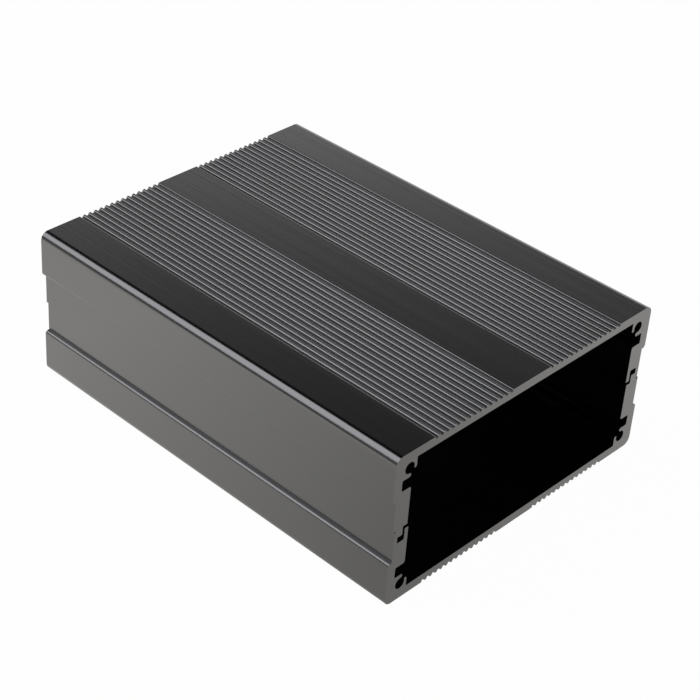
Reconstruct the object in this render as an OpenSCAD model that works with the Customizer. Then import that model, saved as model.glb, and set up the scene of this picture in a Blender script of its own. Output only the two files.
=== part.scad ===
// Split extruded enclosure: two equal ribbed U shells that meet along an S-shaped seam.
// Millimetres. X is the width, Y the length, Z is up. The base rests on Z = 0.

/* [Enclosure] */
// Width of one shell across its outer ledges
shell_w = 75.5; // [72:0.5:160]
// Height of the closed enclosure
case_h = 35; // [34:0.5:90]
// Length of the extrusion
case_l = 100; // [30:1:300]
// Thickness of the top and bottom plates
plate_t = 2; // [1.6:0.1:2.3]
// Radius of the outer corners
corner_r = 1.8; // [0.8:0.1:2]
// Sideways play that the upper shell takes up at the seam
seam_play = 0.4; // [0.2:0.05:0.45]

/* [Side walls] */
// Height of the thick ledge band next to each plate, its rounded shoulder included
ledge_h = 10.35; // [9.5:0.05:10.6]
// Radius of the ledge shoulder
shoulder_r = 0.7; // [0.3:0.05:0.8]
// Depth of the recessed band between the ledges
recess_d = 0.95; // [0.85:0.05:1.1]
// Thickness of the side wall in the recessed band
wall_t = 3.8; // [3.7:0.05:4.1]
// Rounding of the wall edge below the board slot
edge_r = 0.5; // [0.2:0.05:0.7]

/* [Seam] */
// Gap between the two outer walls where they meet at mid height
land_gap = 0.04; // [0.02:0.02:0.1]
// Width of the flat land between the outer wall face and the tongue flank
land_w = 0.68; // [0.6:0.04:0.72]
// Radius of the relief groove along the land
relief_r = 0.22; // [0.1:0.02:0.24]
// Height of the open mouth of the seam on the inside
mouth_gap = 0.8; // [0.6:0.05:1]
// Depth of the pocket below mid height
pocket_depth = 3; // [2.6:0.1:3.6]
// Length of the tongue below mid height
tongue_len = 1.6; // [1.2:0.1:2]
// Thickness of the inner lip of the pocket
lip_t = 0.95; // [0.7:0.05:1.05]
// Width of the gap between the inner lip and the tongue
lip_gap = 0.6; // [0.3:0.05:0.7]
// Running clearance along the slanted flanks
flank_fit = 0.02; // [0.01:0.01:0.1]

/* [Screw channels] */
// Diameter of the channel for a thread-forming screw
channel_d = 2.5; // [2.2:0.05:2.7]
// Distance of the channel axis from the outer side
channel_x = 3.9; // [3.8:0.05:4.1]
// Distance of the channel axis from the outer plate face
channel_z = 3.7; // [3.6:0.05:3.8]
// Distance of the inner face of the plate arm from the outer side
arm_x = 5.8; // [5.6:0.05:6.1]
// Distance of the plate arm tip from the outer plate face
arm_z = 4.3; // [4.15:0.05:4.5]
// Width of the plate arm
arm_w = 0.8; // [0.6:0.05:0.85]
// Distance of the wall arm tip from the outer side
wall_arm_x = 4.4; // [4.35:0.05:4.6]

/* [Board slot] */
// Height of the slot that holds a circuit board
slot_h = 2.5; // [1.8:0.1:2.8]
// Distance from the outer plate face to the near side of the slot
slot_top = 5.85; // [5.65:0.05:6]
// Distance of the slot end from the outer side
slot_x = 2.2; // [1.9:0.1:2.5]

/* [Ribs] */
// Distance from one rib to the next
rib_pitch = 1.5; // [1.2:0.05:1.75]
// Width of each groove between ribs
rib_gap = 0.6; // [0.4:0.05:0.8]
// Depth of each groove
rib_depth = 0.5; // [0.3:0.05:0.7]
// Half width of the flat band along the middle
band_half = 5.7; // [2:0.1:7]
// Number of grooves in each ribbed zone
rib_count = 15; // [3:1:15]
// Rounding of the flat band edges beside the grooves
band_r = 0.25; // [0.1:0.05:0.3]

/* [Hidden] */
$fn = 48;
eps = 0.01;
half_w = shell_w / 2;
mid_h = case_h / 2;
wall_in = recess_d + wall_t;
channel_r = channel_d / 2;
// Slope of the slanted flank: how far it moves inwards for each millimetre down
flank_k = 0.44;
// Distance of the tongue flank from the outer side at mid height
flank_x = recess_d + land_w;
foot_y = land_gap / 2;
relief_x = recess_d + 0.6 * land_w;
// The walls below the ledge end inside the thick band
wall_top = mid_h - slot_top;
tongue_in = wall_in - lip_t + seam_play - lip_gap;
tip_r = 0.2;
pocket_r = 0.35;
slot_r = 0.3;
zone_w = (rib_count - 1) * rib_pitch + rib_gap;
rib_w = rib_pitch - rib_gap;

// Shell coordinates: x runs inwards from the outer side, y is the height above mid height.
// The plate is at the top. The left wall carries the tongue, the right wall the pocket.

function flank(y) = flank_x - flank_k * y;
function lip_flank(y) = flank(y) - seam_play - flank_fit;

// Quarter of a square that is left over outside a rounded corner at the origin, in +x +y
module corner_cut(r) {
    difference() {
        translate([-eps, -eps]) square([r + eps, r + eps]);
        translate([r, r]) circle(r = r);
    }
}

// Shoulder below the ledge band: a rounded outer edge and a short flat up to the recess
module shoulder() {
    translate([shoulder_r, mid_h - ledge_h]) {
        square([recess_d - shoulder_r + eps, shoulder_r + eps]);
        translate([0, shoulder_r]) circle(r = shoulder_r);
    }
}

// Wall from the thick band down to the seam, with the tongue below it
module tongue_wall() {
    tip_y = tip_r - tongue_len;
    difference() {
        polygon([
            [recess_d, wall_top], [recess_d, foot_y], [flank(foot_y), foot_y],
            [flank(tip_y), tip_y], [tongue_in, tip_y], [tongue_in, mouth_gap / 2],
            [wall_in, mouth_gap / 2], [wall_in, wall_top]
        ]);
        translate([relief_x, foot_y]) circle(r = relief_r);
    }
    // Rounded tip
    translate([flank(tip_y) + tip_r, -tongue_len])
        square([tongue_in - flank(tip_y) - 2 * tip_r, tip_r + eps]);
    translate([flank(tip_y) + tip_r, tip_y]) circle(r = tip_r);
    translate([tongue_in - tip_r, tip_y]) circle(r = tip_r);
    shoulder();
}

// Pocket that takes the tongue of the other shell, in the frame of a right wall turned left:
// x runs inwards from the outer side, y is the distance past mid height
module pocket() {
    x0 = lip_flank(-tongue_len);
    x1 = wall_in - lip_t;
    polygon([
        [lip_flank(0), 0], [x0, -tongue_len], [x0, -pocket_depth + pocket_r],
        [x1, -pocket_depth + pocket_r], [x1, 0]
    ]);
    translate([x0 + pocket_r, -pocket_depth])
        square([x1 - x0 - 2 * pocket_r, pocket_r + eps]);
    translate([x0 + pocket_r, -pocket_depth + pocket_r]) circle(r = pocket_r);
    translate([x1 - pocket_r, -pocket_depth + pocket_r]) circle(r = pocket_r);
}

// Wall from the thick band down to the seam, with the pocket in its foot. Drawn as a left wall.
module pocket_wall() {
    difference() {
        translate([recess_d, foot_y]) square([wall_t, wall_top - foot_y]);
        mirror([0, 1]) pocket();
        // Open mouth above the inner lip
        translate([wall_in - lip_t - eps, 0]) square([lip_t + 2 * eps, mouth_gap / 2]);
        // Rounded outer edge
        translate([recess_d, foot_y]) corner_cut(tip_r);
    }
    shoulder();
}

// Everything cut from the corner next to the plate: screw channel, board slot and cavity
module corner_space() {
    slot_lo = mid_h - slot_top - slot_h;
    difference() {
        union() {
            // Cavity beside the plate arm
            translate([arm_x, -mid_h]) square([half_w - arm_x + eps, case_h - plate_t]);
            // Cavity beside the side wall
            translate([wall_in, -mid_h]) square([arm_x - wall_in + eps, mid_h + slot_lo + eps]);
            // Way out of the channel between the two arms
            translate([channel_x, slot_lo])
                square([arm_x - channel_x + eps, slot_h + slot_top - channel_z]);
            // Board slot with rounded ends
            translate([slot_x, slot_lo + slot_r])
                square([arm_x - slot_x, slot_h - 2 * slot_r]);
            translate([slot_x + slot_r, slot_lo]) square([arm_x - slot_x - slot_r, slot_h]);
            translate([slot_x + slot_r, slot_lo + slot_r]) circle(r = slot_r);
            translate([slot_x + slot_r, slot_lo + slot_h - slot_r]) circle(r = slot_r);
            // Rounded edge of the side wall
            translate([wall_in, slot_lo]) rotate(180) corner_cut(edge_r);
        }
        // Plate arm with a rounded tip
        translate([arm_x - arm_w, mid_h - arm_z + arm_w / 2]) square([arm_w, arm_z]);
        translate([arm_x - arm_w / 2, mid_h - arm_z + arm_w / 2]) circle(r = arm_w / 2);
        wall_arm();
    }
    translate([channel_x, mid_h - channel_z]) circle(r = channel_r);
}

// Arm between the screw channel and the board slot
module wall_arm() {
    arm_t = slot_top - channel_z - channel_r;
    tip_x = wall_arm_x - arm_t / 2;
    translate([slot_x + slot_r, mid_h - slot_top]) square([tip_x - slot_x - slot_r, arm_t]);
    translate([tip_x, mid_h - slot_top + arm_t / 2]) circle(r = arm_t / 2);
}

// Grooves of one ribbed zone, cut from the plate face at y = 0, from x = 0 outwards
module zone() {
    difference() {
        translate([0, -rib_depth]) square([zone_w, rib_depth + 1]);
        for (i = [0:1:rib_count - 2]) {
            translate([i * rib_pitch + rib_gap, -rib_depth - eps])
                square([rib_w, max(eps, rib_depth - rib_w / 2) + eps]);
            translate([i * rib_pitch + rib_gap + rib_w / 2, -rib_w / 2]) circle(r = rib_w / 2);
        }
    }
    rotate(180) corner_cut(band_r);
    translate([zone_w, 0]) rotate(-90) corner_cut(band_r);
}

// Plate and both ledge bands as one thick block, with rounded outer corners
module block() {
    translate([-half_w, mid_h - ledge_h + shoulder_r])
        square([shell_w, ledge_h - shoulder_r - corner_r]);
    translate([-half_w + corner_r, mid_h - ledge_h + shoulder_r])
        square([shell_w - 2 * corner_r, ledge_h - shoulder_r]);
    for (side = [-1, 1])
        translate([side * (half_w - corner_r), mid_h - corner_r]) circle(r = corner_r);
}

// Section of one shell, centred on x = 0, with mid height on y = 0
module shell_section() {
    difference() {
        union() {
            block();
            translate([-half_w, 0]) tongue_wall();
            mirror([1, 0]) translate([-half_w, 0]) pocket_wall();
        }
        translate([-half_w, 0]) corner_space();
        mirror([1, 0]) translate([-half_w, 0]) corner_space();
        translate([band_half, mid_h]) zone();
        mirror([1, 0]) translate([band_half, mid_h]) zone();
    }
}

module shell() {
    rotate([90, 0, 0])
        linear_extrude(height = case_l, center = true)
            shell_section();
}

module lower_shell() {
    color([0.09, 0.09, 0.095])
        translate([seam_play / 2, 0, mid_h])
            rotate([0, 180, 0])
                shell();
}

module upper_shell() {
    color([0.1, 0.1, 0.105])
        translate([-seam_play / 2, 0, mid_h])
            shell();
}

lower_shell();
upper_shell();
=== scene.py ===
"""Looks for the split extruded enclosure: anodised shells on a white table in soft light."""

import math

import bpy
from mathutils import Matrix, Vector


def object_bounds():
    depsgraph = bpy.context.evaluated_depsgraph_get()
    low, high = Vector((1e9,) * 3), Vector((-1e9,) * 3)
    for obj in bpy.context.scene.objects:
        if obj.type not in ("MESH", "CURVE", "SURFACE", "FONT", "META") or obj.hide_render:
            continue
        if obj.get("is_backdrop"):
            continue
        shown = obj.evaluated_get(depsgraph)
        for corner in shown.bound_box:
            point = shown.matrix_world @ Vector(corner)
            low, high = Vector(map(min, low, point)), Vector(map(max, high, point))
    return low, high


# Camera: a long lens that looks down on the near left corner, in metres and degrees
CAMERA_PLACE = Vector((-0.23969, -0.21473, 0.23965))
CAMERA_TURN = (56.4984, -2.6957, -44.7447)
CAMERA_LENS = 96.498
CAMERA_SENSOR = 36
CAMERA_SHIFT = (0.0769, -0.0742)
CAMERA_CLIP = (0.02, 20)

# Anodised layer
ANODISED_COLOUR = (0.009, 0.009, 0.009, 1)
ANODISED_IOR = 2.35
ANODISED_ROUGH = 0.18

# Fine marks in the layer: turn in degrees and marks a metre along X, Y and Z. A face is a
# cut end where its normal points along Y by more than CUT_END.
DIE_LINES = ((0, 0, 0), (900, 8, 900))
SAW_MARKS = ((0, 35, 0), (90, 90, 1400))
CUT_END = 0.9
MARK_DETAIL = 3
MARK_STRENGTH = 0.06
MARK_DEPTH = 0.0002
ROUGH_SPREAD = 0.03

# Large softbox high at the back left: degrees, metres and watts
LAMP_AZIMUTH = -38.6
LAMP_ELEVATION = 44
LAMP_DISTANCE = 1.0
LAMP_SIZE = (0.75, 0.85)
LAMP_WATTS = 3.9
LAMP_COLOUR = (0.95, 0.95, 1)

# White sweep behind the table: how far it leans away from the camera, how high it stays
# white, and how fast it fades above that. It ends on the left, where a dim horizon takes
# over that fades upwards.
SWEEP_LEAN = 0.21
SWEEP_TOP = 0.173
SWEEP_FADE = 19
SWEEP_END = (0.0, 0.35)
DIM_LEFT = 0.27
DIM_LEFT_SIDE = (-0.3, 0.0)
DIM_LEFT_FADE = (0.1, 0.45)

# Table, its side in lengths of the object's diagonal
TABLE_SPAN = 60
TABLE_COLOUR = (0.9, 0.9, 0.9, 1)
TABLE_SHADOW = 0.015

# Table as the object mirrors it: painted shade in its glow, darker by the near left corner
# and as dim as the horizon far out on the left
PAINTED_SHADE_CORNER = (-0.06, -0.075, 0)
PAINTED_SHADE_LEVEL = 0.45
PAINTED_SHADE_RISE = 4.2
LEFT_FADE = (0.1, 0.5)
MIRRORED_WHITE = (1, 0.985, 0.955, 1)
PURE_WHITE = (1, 1, 1, 1)


def node(tree, kind, **values):
    """Add a node and set its properties."""
    made = tree.nodes.new(kind)
    for name, value in values.items():
        setattr(made, name, value)
    return made


def feed(tree, socket, value):
    """Link a socket into an input, or write a plain value on it."""
    if isinstance(value, bpy.types.NodeSocket):
        tree.links.new(value, socket)
    else:
        socket.default_value = value


def maths(tree, operation, *values, clamp=False):
    """Result of one maths step on sockets or plain values."""
    made = node(tree, "ShaderNodeMath", operation=operation, use_clamp=clamp)
    for socket, value in zip(made.inputs, values):
        feed(tree, socket, value)
    return made.outputs[0]


def smooth_step(tree, value, start, end):
    """0 before start, 1 after end, smooth between them."""
    made = node(tree, "ShaderNodeMapRange", interpolation_type="SMOOTHSTEP")
    feed(tree, made.inputs["Value"], value)
    made.inputs["From Min"].default_value = start
    made.inputs["From Max"].default_value = end
    return made.outputs["Result"]


def new_material(name):
    """Material with an empty node tree."""
    material = bpy.data.materials.new(name)
    material.use_nodes = True
    material.node_tree.nodes.clear()
    return material


def streaks(tree, place, pattern):
    """Noise stretched along one axis, from a turn and the marks a metre along each axis."""
    turn, marks_per_metre = pattern
    scaled = node(tree, "ShaderNodeMapping")
    feed(tree, scaled.inputs["Vector"], place)
    scaled.inputs["Rotation"].default_value = [math.radians(t) for t in turn]
    scaled.inputs["Scale"].default_value = marks_per_metre
    noise = node(tree, "ShaderNodeTexNoise")
    noise.inputs["Scale"].default_value = 1
    noise.inputs["Detail"].default_value = MARK_DETAIL
    feed(tree, noise.inputs["Vector"], scaled.outputs[0])
    return noise.outputs[0]


def anodised():
    """Satin black anodised metal: faint lines along the extrusion, saw marks on its ends."""
    material = new_material("anodised_black")
    tree = material.node_tree
    place = node(tree, "ShaderNodeTexCoord").outputs["Object"]
    die_lines = streaks(tree, place, DIE_LINES)
    saw_marks = streaks(tree, place, SAW_MARKS)
    facing = node(tree, "ShaderNodeSeparateXYZ")
    feed(tree, facing.inputs[0], node(tree, "ShaderNodeNewGeometry").outputs["Normal"])
    cut_end = maths(tree, "GREATER_THAN", maths(tree, "ABSOLUTE", facing.outputs["Y"]), CUT_END)
    marks = node(tree, "ShaderNodeMix")
    feed(tree, marks.inputs["Factor"], cut_end)
    feed(tree, marks.inputs["A"], die_lines)
    feed(tree, marks.inputs["B"], saw_marks)
    bump = node(tree, "ShaderNodeBump")
    bump.inputs["Strength"].default_value = MARK_STRENGTH
    bump.inputs["Distance"].default_value = MARK_DEPTH
    feed(tree, bump.inputs["Height"], marks.outputs["Result"])
    rough = maths(tree, "MULTIPLY_ADD", marks.outputs["Result"], ROUGH_SPREAD, ANODISED_ROUGH)
    shader = node(tree, "ShaderNodeBsdfPrincipled")
    shader.inputs["Base Color"].default_value = ANODISED_COLOUR
    shader.inputs["IOR"].default_value = ANODISED_IOR
    feed(tree, shader.inputs["Roughness"], rough)
    feed(tree, shader.inputs["Normal"], bump.outputs["Normal"])
    out = node(tree, "ShaderNodeOutputMaterial")
    feed(tree, out.inputs["Surface"], shader.outputs[0])
    return material


def dress(nodes, material):
    """Put one material on every shell."""
    for shell in nodes.values():
        shell.data.materials.clear()
        shell.data.materials.append(material)


def white_table():
    """Floor that shows as white to the camera and keeps a faint shadow. In what the object
    mirrors, its glow carries painted shade by the near left corner and far out on the left."""
    low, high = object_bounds()
    size = (high - low).length * TABLE_SPAN
    bpy.ops.mesh.primitive_plane_add(size=size, location=(0, 0, low.z))
    floor = bpy.context.object
    floor.name = "table"
    material = new_material("table_white")
    tree = material.node_tree
    path = node(tree, "ShaderNodeLightPath")
    to_camera = path.outputs["Is Camera Ray"]
    place = node(tree, "ShaderNodeTexCoord").outputs["Object"]
    # painted shade: the glow the object mirrors is darker by the near left corner
    away = node(tree, "ShaderNodeVectorMath", operation="DISTANCE")
    feed(tree, away.inputs[0], place)
    away.inputs[1].default_value = PAINTED_SHADE_CORNER
    near = maths(tree, "MULTIPLY_ADD", away.outputs["Value"], PAINTED_SHADE_RISE, PAINTED_SHADE_LEVEL, clamp=True)
    # painted shade: that glow is as dim as the horizon far out on the left
    split = node(tree, "ShaderNodeSeparateXYZ")
    feed(tree, split.inputs[0], place)
    left = maths(tree, "MULTIPLY", split.outputs["X"], -1.0)
    dark = smooth_step(tree, left, *LEFT_FADE)
    open_part = maths(tree, "MULTIPLY_ADD", dark, DIM_LEFT - 1, 1.0)
    mirrored = maths(tree, "MULTIPLY", near, open_part)
    tint = node(tree, "ShaderNodeMix", data_type="RGBA")
    colour_a, colour_b = tint.inputs[6:8]
    feed(tree, tint.inputs["Factor"], to_camera)
    colour_a.default_value = MIRRORED_WHITE
    colour_b.default_value = PURE_WHITE
    glow = node(tree, "ShaderNodeEmission")
    feed(tree, glow.inputs["Color"], tint.outputs[2])
    feed(tree, glow.inputs["Strength"], maths(tree, "MAXIMUM", mirrored, to_camera))
    matt = node(tree, "ShaderNodeBsdfDiffuse")
    matt.inputs["Color"].default_value = TABLE_COLOUR
    seen = maths(tree, "MAXIMUM", to_camera, path.outputs["Is Glossy Ray"])
    seen = maths(tree, "MAXIMUM", seen, path.outputs["Is Transmission Ray"])
    mix = node(tree, "ShaderNodeMixShader")
    feed(tree, mix.inputs["Fac"], maths(tree, "MULTIPLY", seen, 1 - TABLE_SHADOW))
    feed(tree, mix.inputs[1], matt.outputs[0])
    feed(tree, mix.inputs[2], glow.outputs[0])
    out = node(tree, "ShaderNodeOutputMaterial")
    feed(tree, out.inputs["Surface"], mix.outputs[0])
    floor.data.materials.append(material)
    floor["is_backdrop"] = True


def studio_world():
    """Dark studio with a white sweep behind the table that fades as it rises. The camera
    sees plain white past the table."""
    world = bpy.data.worlds.new("studio")
    bpy.context.scene.world = world
    world.use_nodes = True
    tree = world.node_tree
    tree.nodes.clear()
    split = node(tree, "ShaderNodeSeparateXYZ")
    feed(tree, split.inputs[0], node(tree, "ShaderNodeTexCoord").outputs["Generated"])
    x, y, z = split.outputs
    depth = maths(tree, "ADD", x, y)
    height = maths(tree, "MULTIPLY_ADD", depth, -SWEEP_LEAN, z)
    power = maths(tree, "MULTIPLY_ADD", height, -SWEEP_FADE, SWEEP_FADE * SWEEP_TOP)
    sweep = maths(tree, "EXPONENT", power, clamp=True)
    sweep = maths(tree, "MULTIPLY", sweep, smooth_step(tree, x, *SWEEP_END))
    fade = smooth_step(tree, z, *DIM_LEFT_FADE)
    left = maths(tree, "MULTIPLY_ADD", fade, -DIM_LEFT, DIM_LEFT)
    behind = maths(tree, "SUBTRACT", 1.0, smooth_step(tree, x, *DIM_LEFT_SIDE))
    sweep = maths(tree, "MAXIMUM", sweep, maths(tree, "MULTIPLY", left, behind))
    to_camera = node(tree, "ShaderNodeLightPath").outputs["Is Camera Ray"]
    back = node(tree, "ShaderNodeBackground")
    feed(tree, back.inputs["Color"], maths(tree, "MAXIMUM", sweep, to_camera))
    out = node(tree, "ShaderNodeOutputWorld")
    feed(tree, out.inputs["Surface"], back.outputs[0])


def softbox():
    """Area lamp that faces the middle of the object. Azimuth 0 is over +Y, 90 over +X."""
    low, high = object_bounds()
    azimuth, elevation = math.radians(LAMP_AZIMUTH), math.radians(LAMP_ELEVATION)
    away = Vector((math.sin(azimuth), math.cos(azimuth), math.tan(elevation))).normalized()
    lamp = bpy.data.lights.new("back_left", "AREA")
    lamp.shape = "RECTANGLE"
    lamp.size, lamp.size_y = LAMP_SIZE
    lamp.energy = LAMP_WATTS
    lamp.color = LAMP_COLOUR
    holder = bpy.data.objects.new("back_left", lamp)
    bpy.context.scene.collection.objects.link(holder)
    holder.location = (low + high) / 2 + away * LAMP_DISTANCE
    holder.rotation_mode = "QUATERNION"
    holder.rotation_quaternion = away.to_track_quat("Z", "Y")


def camera():
    """Camera with a long lens, shifted to frame the object."""
    lens = bpy.data.cameras.new("camera")
    lens.lens = CAMERA_LENS
    lens.sensor_width = CAMERA_SENSOR
    lens.shift_x, lens.shift_y = CAMERA_SHIFT
    lens.clip_start, lens.clip_end = CAMERA_CLIP
    holder = bpy.data.objects.new("camera", lens)
    bpy.context.scene.collection.objects.link(holder)
    holder.location = CAMERA_PLACE
    holder.rotation_euler = [math.radians(t) for t in CAMERA_TURN]
    bpy.context.scene.camera = holder


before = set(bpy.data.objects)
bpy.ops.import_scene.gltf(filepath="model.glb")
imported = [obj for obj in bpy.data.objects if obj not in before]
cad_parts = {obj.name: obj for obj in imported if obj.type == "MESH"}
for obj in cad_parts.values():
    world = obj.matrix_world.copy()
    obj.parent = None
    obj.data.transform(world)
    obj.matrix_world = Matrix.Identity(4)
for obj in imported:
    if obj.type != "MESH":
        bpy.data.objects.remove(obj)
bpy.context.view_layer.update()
camera()
dress(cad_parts, anodised())
white_table()
studio_world()
softbox()
bpy.context.scene.view_settings.view_transform = "Standard"
